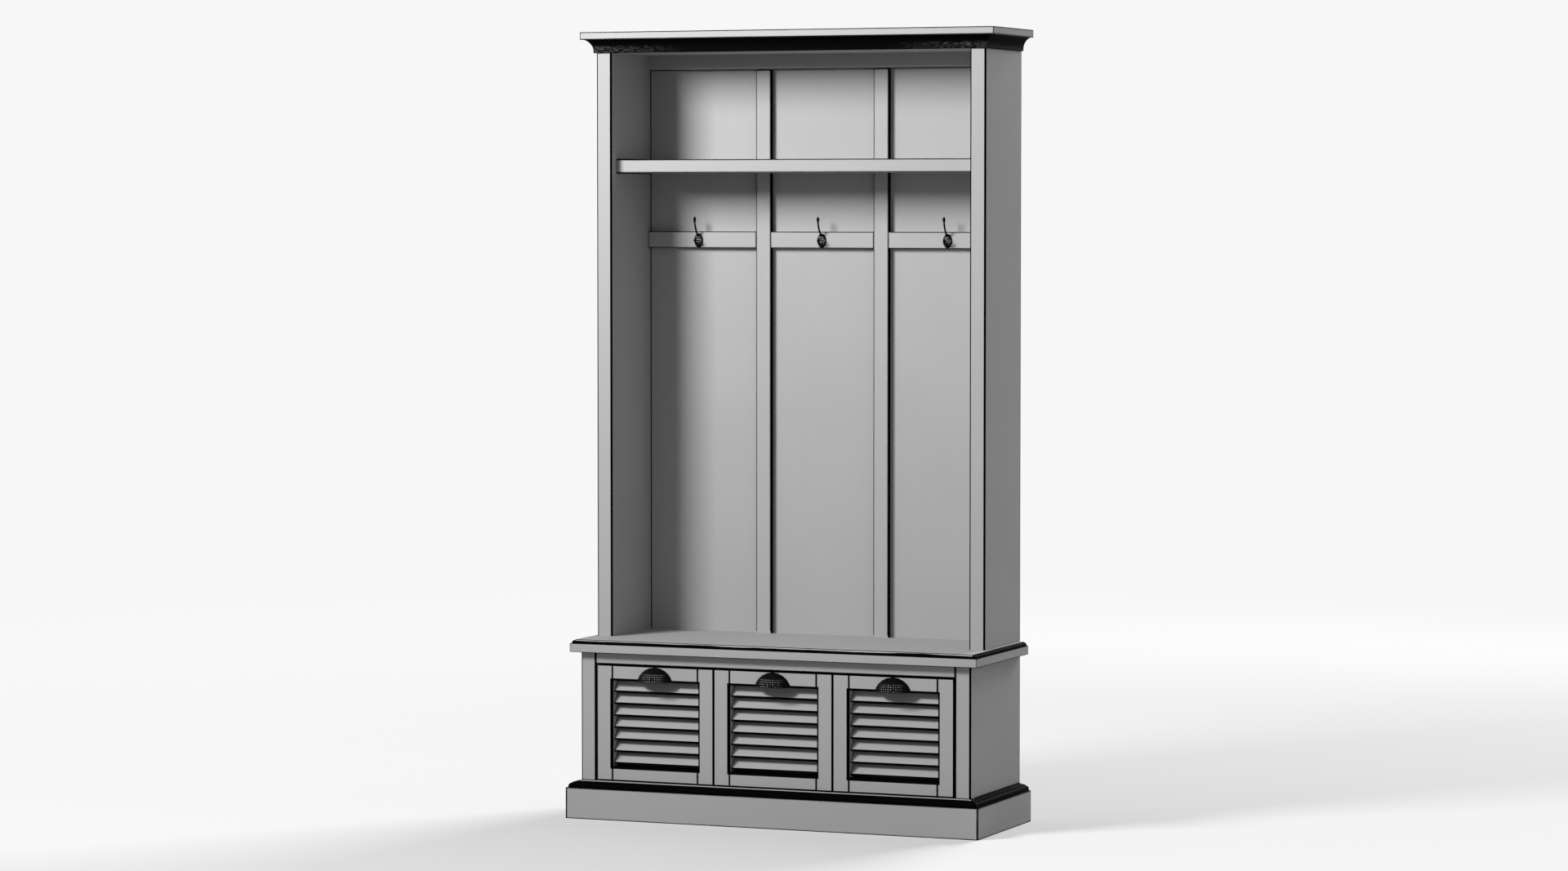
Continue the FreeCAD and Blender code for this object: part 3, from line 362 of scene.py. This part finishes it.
hook_low, hook_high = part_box("coat_hook_centre")
hook_right_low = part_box("coat_hook_right")[0]
hook_pitch = hook_right_low.x - hook_low.x
plate_radii = (13.0 * mm, 6.0 * mm, 18.5 * mm)
plate_centre = (0.0, hook_high.y, hook_low.z + plate_radii[2])
hook_iron = cast_iron(
    "hook_iron", plate_centre, hook_pitch, plate_radii,
    steps=(math.radians(24), math.radians(20)), line=0.12, band=0.05, reach=0.70)
dress(hook_iron, "coat_hook_left", "coat_hook_centre", "coat_hook_right")

# Hook screws: two in each hook, turned from steel and blackened, with a cross recess in a
# low domed head. They go through the hook's plate into the rail.
screw_head_radius = 3.0 * mm
screw_head_height = 1.5 * mm
screw_shank_radius = 1.6 * mm
screw_neck = 0.1 * mm
shank_profile = ((0.3, -1.0), (1.0, -0.8))
head_profile = ((1.0, 0.0), (1.0, 0.45), (0.93, 0.75), (0.78, 1.0))
recess_arm = 1.7 * mm
recess_half_width = 0.45 * mm
recess_depth = 0.9 * mm
recess_taper = 0.7
screw_sides = 32
steel_black = (0.05, 0.05, 0.05, 1)
steel_bare = (0.30, 0.30, 0.30, 1)
steel_roughness = 0.38
steel_shine = 0.5
steel_metallic = 0.8
scuff_length = 0.4 * mm
scuff_marks = (0.55, 0.70)
scuff_roughness = 0.2
hook_screw_half_spacing = 8.5 * mm


def ring(mesh, setting, radius, height):
    """A loop of points round the screw's axis."""
    turn = math.tau / screw_sides
    return [mesh.verts.new(setting @ Vector((
        radius * math.cos(turn * i), radius * math.sin(turn * i), height)))
        for i in range(screw_sides)]


def skin_between(mesh, lower, upper):
    """Join two loops of as many points with a band of faces."""
    for i in range(len(lower)):
        following = (i + 1) % len(lower)
        mesh.faces.new((lower[i], lower[following], upper[following], upper[i]))


def turn_up(mesh, seat, outward, levels):
    """Turn a shape from its closed foot up, by radius and height over the seat."""
    setting = Matrix.Translation(seat) @ outward.to_track_quat("Z", "Y").to_matrix().to_4x4()
    loops = [ring(mesh, setting, radius, height) for radius, height in levels]
    for lower, upper in zip(loops, loops[1:]):
        skin_between(mesh, lower, upper)
    mesh.faces.new(list(reversed(loops[0])))
    return setting, loops[-1]


def add_screw(mesh, seat, outward, shank_length):
    """A screw whose head stands on the seat and looks outward."""
    levels = [(screw_shank_radius * wide, shank_length * high) for wide, high in shank_profile]
    levels.append((screw_shank_radius, -screw_neck))
    levels += [(screw_head_radius * wide, screw_head_height * high)
               for wide, high in head_profile]
    setting, rim = turn_up(mesh, seat, outward, levels)
    arm, half = recess_arm, recess_half_width
    cross = [(arm, -half), (arm, half), (half, half), (half, arm), (-half, arm), (-half, half),
             (-arm, half), (-arm, -half), (-half, -half), (-half, -arm), (half, -arm),
             (half, -half)]
    mouth = [mesh.verts.new(setting @ Vector((x, y, screw_head_height))) for x, y in cross]
    pit = [mesh.verts.new(setting @ Vector((
        x * recess_taper, y * recess_taper, screw_head_height - recess_depth)))
        for x, y in cross]
    skin_between(mesh, mouth, pit)
    mesh.faces.new(pit)
    edges = []
    for loop in (rim, mouth):
        for i, point in enumerate(loop):
            pair = (point, loop[(i + 1) % len(loop)])
            edges.append(mesh.edges.get(pair) or mesh.edges.new(pair))
    bmesh.ops.triangle_fill(mesh, edges=edges, use_beauty=True)


def new_piece(name, mesh, material, body):
    """An object from a bmesh, with faces turned outward, that rides on a body."""
    bmesh.ops.recalc_face_normals(mesh, faces=mesh.faces)
    data = bpy.data.meshes.new(name)
    mesh.to_mesh(data)
    mesh.free()
    data.materials.append(material)
    piece = bpy.data.objects.new(name, data)
    bpy.context.scene.collection.objects.link(piece)
    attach(piece, body)
    return piece


steel, steel_shader, steel_place = new_finish(
    "screw_steel", steel_roughness, steel_shine, steel_metallic)
scuffs = streaks(steel_place, (scuff_length, scuff_length, scuff_length))
feed(steel_shader, "Base Color", blend(rise(scuffs, *scuff_marks), steel_black, steel_bare))
roughen(steel_shader, scuffs, steel_roughness, scuff_roughness)
to_the_front = Vector((0, -1, 0))
to_the_back = Vector((0, 1, 0))
screw_low, screw_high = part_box("hook_screws")
hook_screw_z = (screw_low.z + screw_high.z) / 2
hook_screw_mesh = bmesh.new()
for bay in (-1, 0, 1):
    for side in (-1, 1):
        seat = Vector((hook_pitch * bay + hook_screw_half_spacing * side,
                       screw_low.y + screw_head_height, hook_screw_z))
        add_screw(hook_screw_mesh, seat, to_the_front, screw_high.y - seat.y)
hook_screw_set = new_piece("hook_screw_set", hook_screw_mesh, steel, "carcase")
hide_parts("hook_screws")

# Panel pins: flat-headed steel pins, driven from behind through the back panels, into the
# mullions of the hutch and the partitions of the base.
pin_head_radius = 2.4 * mm
pin_head_height = 0.7 * mm
pin_rim_share = 0.6
pin_top_share = 0.85
pin_shank_radius = 0.8 * mm
pin_length = 12.0 * mm
pin_spacing = 110.0 * mm
pin_margin = 30.0 * mm
pin_mesh = bmesh.new()


def add_pin(mesh, seat, outward):
    """A pin whose flat head lies on the seat."""
    top = turn_up(mesh, seat, outward, (
        (pin_shank_radius, -pin_length), (pin_shank_radius, 0.0), (pin_head_radius, 0.0),
        (pin_head_radius, pin_head_height * pin_rim_share),
        (pin_head_radius * pin_top_share, pin_head_height)))[1]
    mesh.faces.new(top)


for panel, post in (("hutch_back_panel", "back_frame_mullion"),
                    ("base_back_panel", "base_partition")):
    panel_low, panel_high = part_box(panel)
    run = panel_high.z - panel_low.z - 2 * pin_margin
    gaps = max(round(run / pin_spacing), 1)
    for word in ("left", "right"):
        post_low, post_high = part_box(f"{post}_{word}")
        for i in range(gaps + 1):
            seat = Vector(((post_low.x + post_high.x) / 2, panel_high.y,
                           panel_low.z + pin_margin + run * i / gaps))
            add_pin(pin_mesh, seat, to_the_back)
new_piece("panel_pins", pin_mesh, steel, "carcase")

# Bench top: one wide painted board with a thumb moulding cut on its front and both ends. The
# moulding is black, but for the grey upper part of the front's, which was masked by hand.
bench_step_z = bench_high.z - 9.5 * mm
bench_inset = 11.3 * mm
bench_rubbed_width = 3.2 * mm
band_height = 6.0 * mm
band_height_at_ends = 11.0 * mm
band_fade = 0.8 * mm
wander_length = 0.12
wander_height = 6.0 * mm
end_fade = (-1.5 * mm, -0.5 * mm)
front_fade = (0.0, 1.0 * mm)
step_fade = (-0.3 * mm, 0.0)


def moulded_band(place, facet):
    """1 on the lower part of the front's moulding, and on the whole moulding of both ends."""
    x, y, z = parts_of(place)
    at_end = rise(x.maths("ABSOLUTE") - (bench_high.x - bench_inset), *end_fade)
    in_front = 1 - rise(y - (bench_low.y + bench_inset), *front_fade)
    wander = (streaks(place, (wander_length, wander_length, wander_length)) - 0.5) \
        * wander_height
    head_z = (bench_step_z + band_height + at_end * (band_height_at_ends - band_height)
              + wander)
    above_step = rise(z - bench_step_z, *step_fade)
    under_head = 1 - rise(z - head_z, 0.0, band_fade)
    return above_step * under_head * at_end.maths("MAXIMUM", in_front)


bench_paint = painted("bench_paint", "x", moulded_band, width=bench_rubbed_width)
dress(bench_paint, "bench_top")

# Plinth: painted boards on edge, mitred at the front corners, under a cap frame. The cap's
# moulded edge is black below a narrow grey neck, and so is the ledge outside it.
cap_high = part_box("plinth_cap_front")[1]
cap_neck_height = 1.5 * mm
neck_fade = 0.4 * mm
ledge_facet = (0.3, 0.6)
fine_rubbed_width = 2.6 * mm


def upward(place, facet):
    """1 on a ledge: the plinth's outside its cap, and a drawer front's under its louvres."""
    return rise(parts_of(facet)[2], *ledge_facet)


def under_neck(place, facet):
    return 1 - rise(parts_of(place)[2] - (cap_high.z - cap_neck_height), 0.0, neck_fade)


plinth_paint = painted("plinth_paint", "x", off_square, upward)
side_plinth_paint = painted("side_plinth_paint", "y", off_square, upward)
cap_paint = painted("cap_paint", "x", under_neck, width=fine_rubbed_width)
dress(plinth_paint, "plinth_front")
dress(side_plinth_paint, "plinth_left", "plinth_right")
dress(cap_paint, "plinth_cap_front")
dress(moulding_paint, "plinth_cap_left", "plinth_cap_right")

# Drawer fronts: painted stiles and rails round seven slanting slats, mortised into the stiles.
# The opening's round edge, the joints' V-grooves, the slats' noses and a thin line round the
# outer edges stay in the primer. The faces in the gap round each front, the slats' undersides
# and the ledge under the louvres are black as painted shade.
front_low, front_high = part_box("drawer_centre_front_stiles")
slats_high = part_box("drawer_centre_louvre_slats")[1]
front_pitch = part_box("drawer_right_front_stiles")[1].x - front_high.x
border = 1.6 * mm
slat_tenon = 6.0 * mm
nose_facet = (0.45, 0.62)


def from_middle(place):
    """How far a point lies to the left or the right of its own drawer's middle."""
    x = parts_of(place)[0]
    return x.maths("WRAP", front_pitch / 2, front_pitch / -2).maths("ABSOLUTE")


def edge_line_and_gap_shade(place, facet):
    """1 on a thin line round the front's edges, and on its faces in the gap as painted shade."""
    z = parts_of(place)[2]
    sides = line_before(from_middle(place), front_high.x, border)
    head = line_before(z, front_high.z, border)
    foot = 1 - rise(z, front_low.z + border * line_core, front_low.z + border)
    return sides.maths("MAXIMUM", head).maths("MAXIMUM", foot)


def noses_and_shaded_undersides(place, facet):
    """1 on the slats' round noses, in the primer, and on their undersides as painted shade."""
    return 1 - rise(parts_of(facet)[2], *nose_facet)


def slat_ends(place, facet):
    return line_before(from_middle(place), slats_high.x - slat_tenon, border)


stile_paint = painted("stile_paint", "z", off_square, edge_line_and_gap_shade, width=fine_rubbed_width)
# On these rails the ledge under the louvres is black as painted shade under the lowest slat.
front_rail_paint = painted("front_rail_paint", "x", off_square, edge_line_and_gap_shade, upward,
                           width=fine_rubbed_width)
slat_paint = painted("slat_paint", "x", noses_and_shaded_undersides, slat_ends, width=fine_rubbed_width)
for word in ("left", "centre", "right"):
    dress(stile_paint, f"drawer_{word}_front_stiles")
    dress(front_rail_paint, f"drawer_{word}_front_rails")
    dress(slat_paint, f"drawer_{word}_louvre_slats")

# Drawer boxes and runners: plain birch under clear lacquer, dovetailed at the corners, with
# the grain along each board and its end grain showing on the tails.
birch_light = (0.64, 0.50, 0.34, 1)
birch_dark = (0.48, 0.34, 0.20, 1)
birch_end = (0.36, 0.25, 0.15, 1)
birch_roughness = 0.5
birch_shine = 0.3
grain_length = {"x": (0.45, 0.010, 0.010), "y": (0.010, 0.45, 0.010)}
grain_marks = (0.35, 0.65)
pore_length = {"x": (0.020, 0.0005, 0.0005), "y": (0.0005, 0.020, 0.0005)}
pore_marks = (0.60, 0.75)
pore_share = 0.5
pore_roughness = 0.3
pore_depth = 0.05 * mm
end_facet = (0.6, 0.8)
end_share = 0.8
box_face = (0.2 * mm, 0.5 * mm)


def birch(name, direction, *black_parts):
    """Birch whose grain runs along x or y, and shows its ends across that axis."""
    material, shader, place = new_finish(name, birch_roughness, birch_shine)
    figure = streaks(place, grain_length[direction], detail=4.0)
    pores = streaks(place, pore_length[direction])
    along = parts_of(facet_of(place))["xy".index(direction)].maths("ABSOLUTE")
    board = blend(rise(figure, *grain_marks), birch_light, birch_dark)
    open_pores = blend(rise(pores, *pore_marks) * pore_share, board, birch_dark)
    colour = blend(rise(along, *end_facet) * end_share, open_pores, birch_end)
    for black_part in black_parts:
        colour = blend(black_part(place), colour, primer_and_shade_black)
    feed(shader, "Base Color", colour)
    roughen(shader, pores, birch_roughness, pore_roughness)
    bump(shader, pores, pore_depth)
    return material


def painted_shade_behind_louvres(place):
    """1 on the box's front face, black as painted shade, so that it shows dark in the gaps."""
    return 1 - rise(parts_of(place)[1] - front_high.y, *box_face)


birch_runner = birch("birch_runner", "y")
birch_lengthwise = birch("birch_lengthwise", "y", painted_shade_behind_louvres)
birch_crosswise = birch("birch_crosswise", "x", painted_shade_behind_louvres)
dress(birch_runner, "drawer_runners")
for word in ("left", "centre", "right"):
    dress(birch_lengthwise, f"drawer_{word}_box_sides")
    dress(birch_crosswise, f"drawer_{word}_box_ends", f"drawer_{word}_box_bottom")

# Cup pulls: hollow blackened cast iron, open below, with the same worn grid as the hooks'
# plates. Each stands on its drawer's top rail and is screwed on from behind.
pull_low, pull_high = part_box("drawer_centre_cup_pull")
pull_right_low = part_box("drawer_right_cup_pull")[0]
pull_centre = (0.0, pull_high.y, pull_low.z)
pull_pitch = pull_right_low.x - pull_low.x
pull_radii = (47.5 * mm, 27.0 * mm, 37.0 * mm)
pull_iron = cast_iron(
    "pull_iron", pull_centre, pull_pitch, pull_radii,
    steps=(math.radians(9), math.radians(9)), line=0.24, band=0.22, reach=0.42)
for word in ("left", "centre", "right"):
    dress(pull_iron, f"drawer_{word}_cup_pull")

# Pull screws: the same blackened steel screws as the hooks', two from the back of each
# drawer's top rail into the pull's bosses.
pull_boss_half_spacing = 32.0 * mm
pull_boss_height = 14.0 * mm
pull_screw_length = 10.0 * mm
for word in ("left", "centre", "right"):
    rail_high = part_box(f"drawer_{word}_front_rails")[1]
    cup_low, cup_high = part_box(f"drawer_{word}_cup_pull")
    middle_x = (cup_low.x + cup_high.x) / 2
    screw_mesh = bmesh.new()
    for side in (-1, 1):
        seat = Vector((middle_x + pull_boss_half_spacing * side, rail_high.y,
                       cup_low.z + pull_boss_height))
        add_screw(screw_mesh, seat, to_the_back, pull_screw_length)
    new_piece(f"drawer_{word}_pull_screws", screw_mesh, steel, f"drawer_{word}")

# Lamps: a tall soft key close to the stand on its front left, a weak one on its right, and a
# wide one behind it that draws its shadow towards the camera.
room_strength = 0.31


def lamp(name, place, target, width, height, power):
    """A soft lamp aimed at a point; what comes back is what the floor needs of it."""
    light = bpy.data.lights.new(name, "AREA")
    light.shape = "RECTANGLE"
    light.size = width
    light.size_y = height
    light.energy = power
    stand = bpy.data.objects.new(name, light)
    stand.location = place
    aim = Vector(target) - Vector(place)
    stand.rotation_euler = aim.to_track_quat("-Z", "Y").to_euler()
    bpy.context.scene.collection.objects.link(stand)
    return Vector(place), aim.normalized(), power


lamps = [
    lamp("key_lamp", place=(-2.02, -3.10, 3.12), target=(0.6, 0.0, 4.6),
         width=1.25, height=1.7, power=352),
    lamp("side_lamp", place=(3.4, 0.2, 2.2), target=(0.0, 0.0, 1.2),
         width=1.66, height=1.66, power=5),
    lamp("back_lamp", place=(1.1, 4.2, 3.2), target=(0.0, 0.0, 0.0),
         width=2.2, height=2.2, power=280)]

# Floor and backdrop: a wide pale floor that keeps the stand's shadow. It looks evenly lit to
# the camera, mirrors and glass, and fades into a plain pale backdrop.
backdrop = (0.93, 0.93, 0.93, 1)
floor_bounce = (0.38, 0.38, 0.38, 1)
floor_half = 40.0
shadow_share = 0.85
fade_near = 3.5
fade_far = 9.0
floor_mesh = bmesh.new()
bmesh.ops.create_grid(floor_mesh, x_segments=1, y_segments=1, size=floor_half)
floor_data = bpy.data.meshes.new("floor")
floor_mesh.to_mesh(floor_data)
floor_mesh.free()
floor = bpy.data.objects.new("floor", floor_data)
bpy.context.scene.collection.objects.link(floor)


def light_on_floor(x, y, place, aim, power):
    """What a lamp adds to the floor's brightness where nothing shades it."""
    away_x, away_y = place.x - x, place.y - y
    distance_squared = away_x * away_x + away_y * away_y + place.z * place.z
    facing = (away_x * -aim.x + away_y * -aim.y + place.z * -aim.z).maths("MAXIMUM", 0.0)
    return facing / (distance_squared * distance_squared) * (place.z * power / math.pi ** 2)


def seen_straight(tone):
    """1 for rays from the camera, a mirror or glass, and 0 for light that bounces about."""
    rays = [tone.node("ShaderNodeLightPath", {}, {}, kind)
            for kind in ("Is Camera Ray", "Is Glossy Ray", "Is Transmission Ray")]
    return rays[0].maths("MAXIMUM", rays[1]).maths("MAXIMUM", rays[2])


floor_finish = bpy.data.materials.new("floor_finish")
floor_finish.use_nodes = True
floor_tree = floor_finish.node_tree
floor_tree.nodes.clear()
floor_place = Tone(floor_tree.nodes.new("ShaderNodeTexCoord").outputs["Object"])
floor_x, floor_y = parts_of(floor_place)[:2]
brightness = room_strength
for one_lamp in lamps:
    brightness = brightness + light_on_floor(floor_x, floor_y, *one_lamp)
evened = backdrop[0] / brightness
floor_seen = floor_place.node("ShaderNodeBsdfDiffuse", {}, {"Color": evened})
floor_glow = floor_place.node("ShaderNodeEmission", {}, {"Color": backdrop})
floor_dull = floor_place.node("ShaderNodeBsdfDiffuse", {}, {"Color": floor_bounce})
distance = (floor_x * floor_x + floor_y * floor_y).maths("SQRT")
shaded = shadow_share * (1 - rise(distance, fade_near, fade_far))
floor_looks = floor_place.node("ShaderNodeMixShader", {}, {
    0: shaded, 1: floor_glow, 2: floor_seen})
floor_mix = floor_place.node("ShaderNodeMixShader", {}, {
    0: seen_straight(floor_place), 1: floor_dull, 2: floor_looks})
floor_output = floor_tree.nodes.new("ShaderNodeOutputMaterial")
floor_tree.links.new(floor_mix.socket, floor_output.inputs["Surface"])
floor_data.materials.append(floor_finish)

# Room: a weak white light from all round, as from a studio's pale walls. What shows of the
# room itself is the backdrop.
room_white = (1.0, 1.0, 1.0, 1)
world = bpy.data.worlds.new("studio")
bpy.context.scene.world = world
world.use_nodes = True
world_tree = world.node_tree
world_tree.nodes.clear()
world_place = Tone(world_tree.nodes.new("ShaderNodeTexCoord").outputs["Generated"])
room_light = world_place.node("ShaderNodeBackground", {}, {
    "Color": room_white, "Strength": room_strength})
room_seen = world_place.node("ShaderNodeBackground", {}, {
    "Color": backdrop, "Strength": 1.0})
room = world_place.node("ShaderNodeMixShader", {}, {
    0: seen_straight(world_place), 1: room_light, 2: room_seen})
world_output = world_tree.nodes.new("ShaderNodeOutputWorld")
world_tree.links.new(room.socket, world_output.inputs["Surface"])

# Camera: a long lens in front of the stand and to its right, a little above the hooks and
# aimed slightly down, with its place fitted to the stand's corners in the photograph.
camera_dip = 2.8279
camera_turn = 22.3518
camera_data = bpy.data.cameras.new("camera")
camera_data.sensor_width = 36.0
camera_data.lens = 108.017
camera = bpy.data.objects.new("camera", camera_data)
camera.location = (4.4903, -11.0114, 1.5651)
camera.rotation_euler = (math.radians(90 - camera_dip), 0, math.radians(camera_turn))
bpy.context.scene.collection.objects.link(camera)
bpy.context.scene.camera = camera
bpy.context.scene.view_settings.view_transform = "Standard"
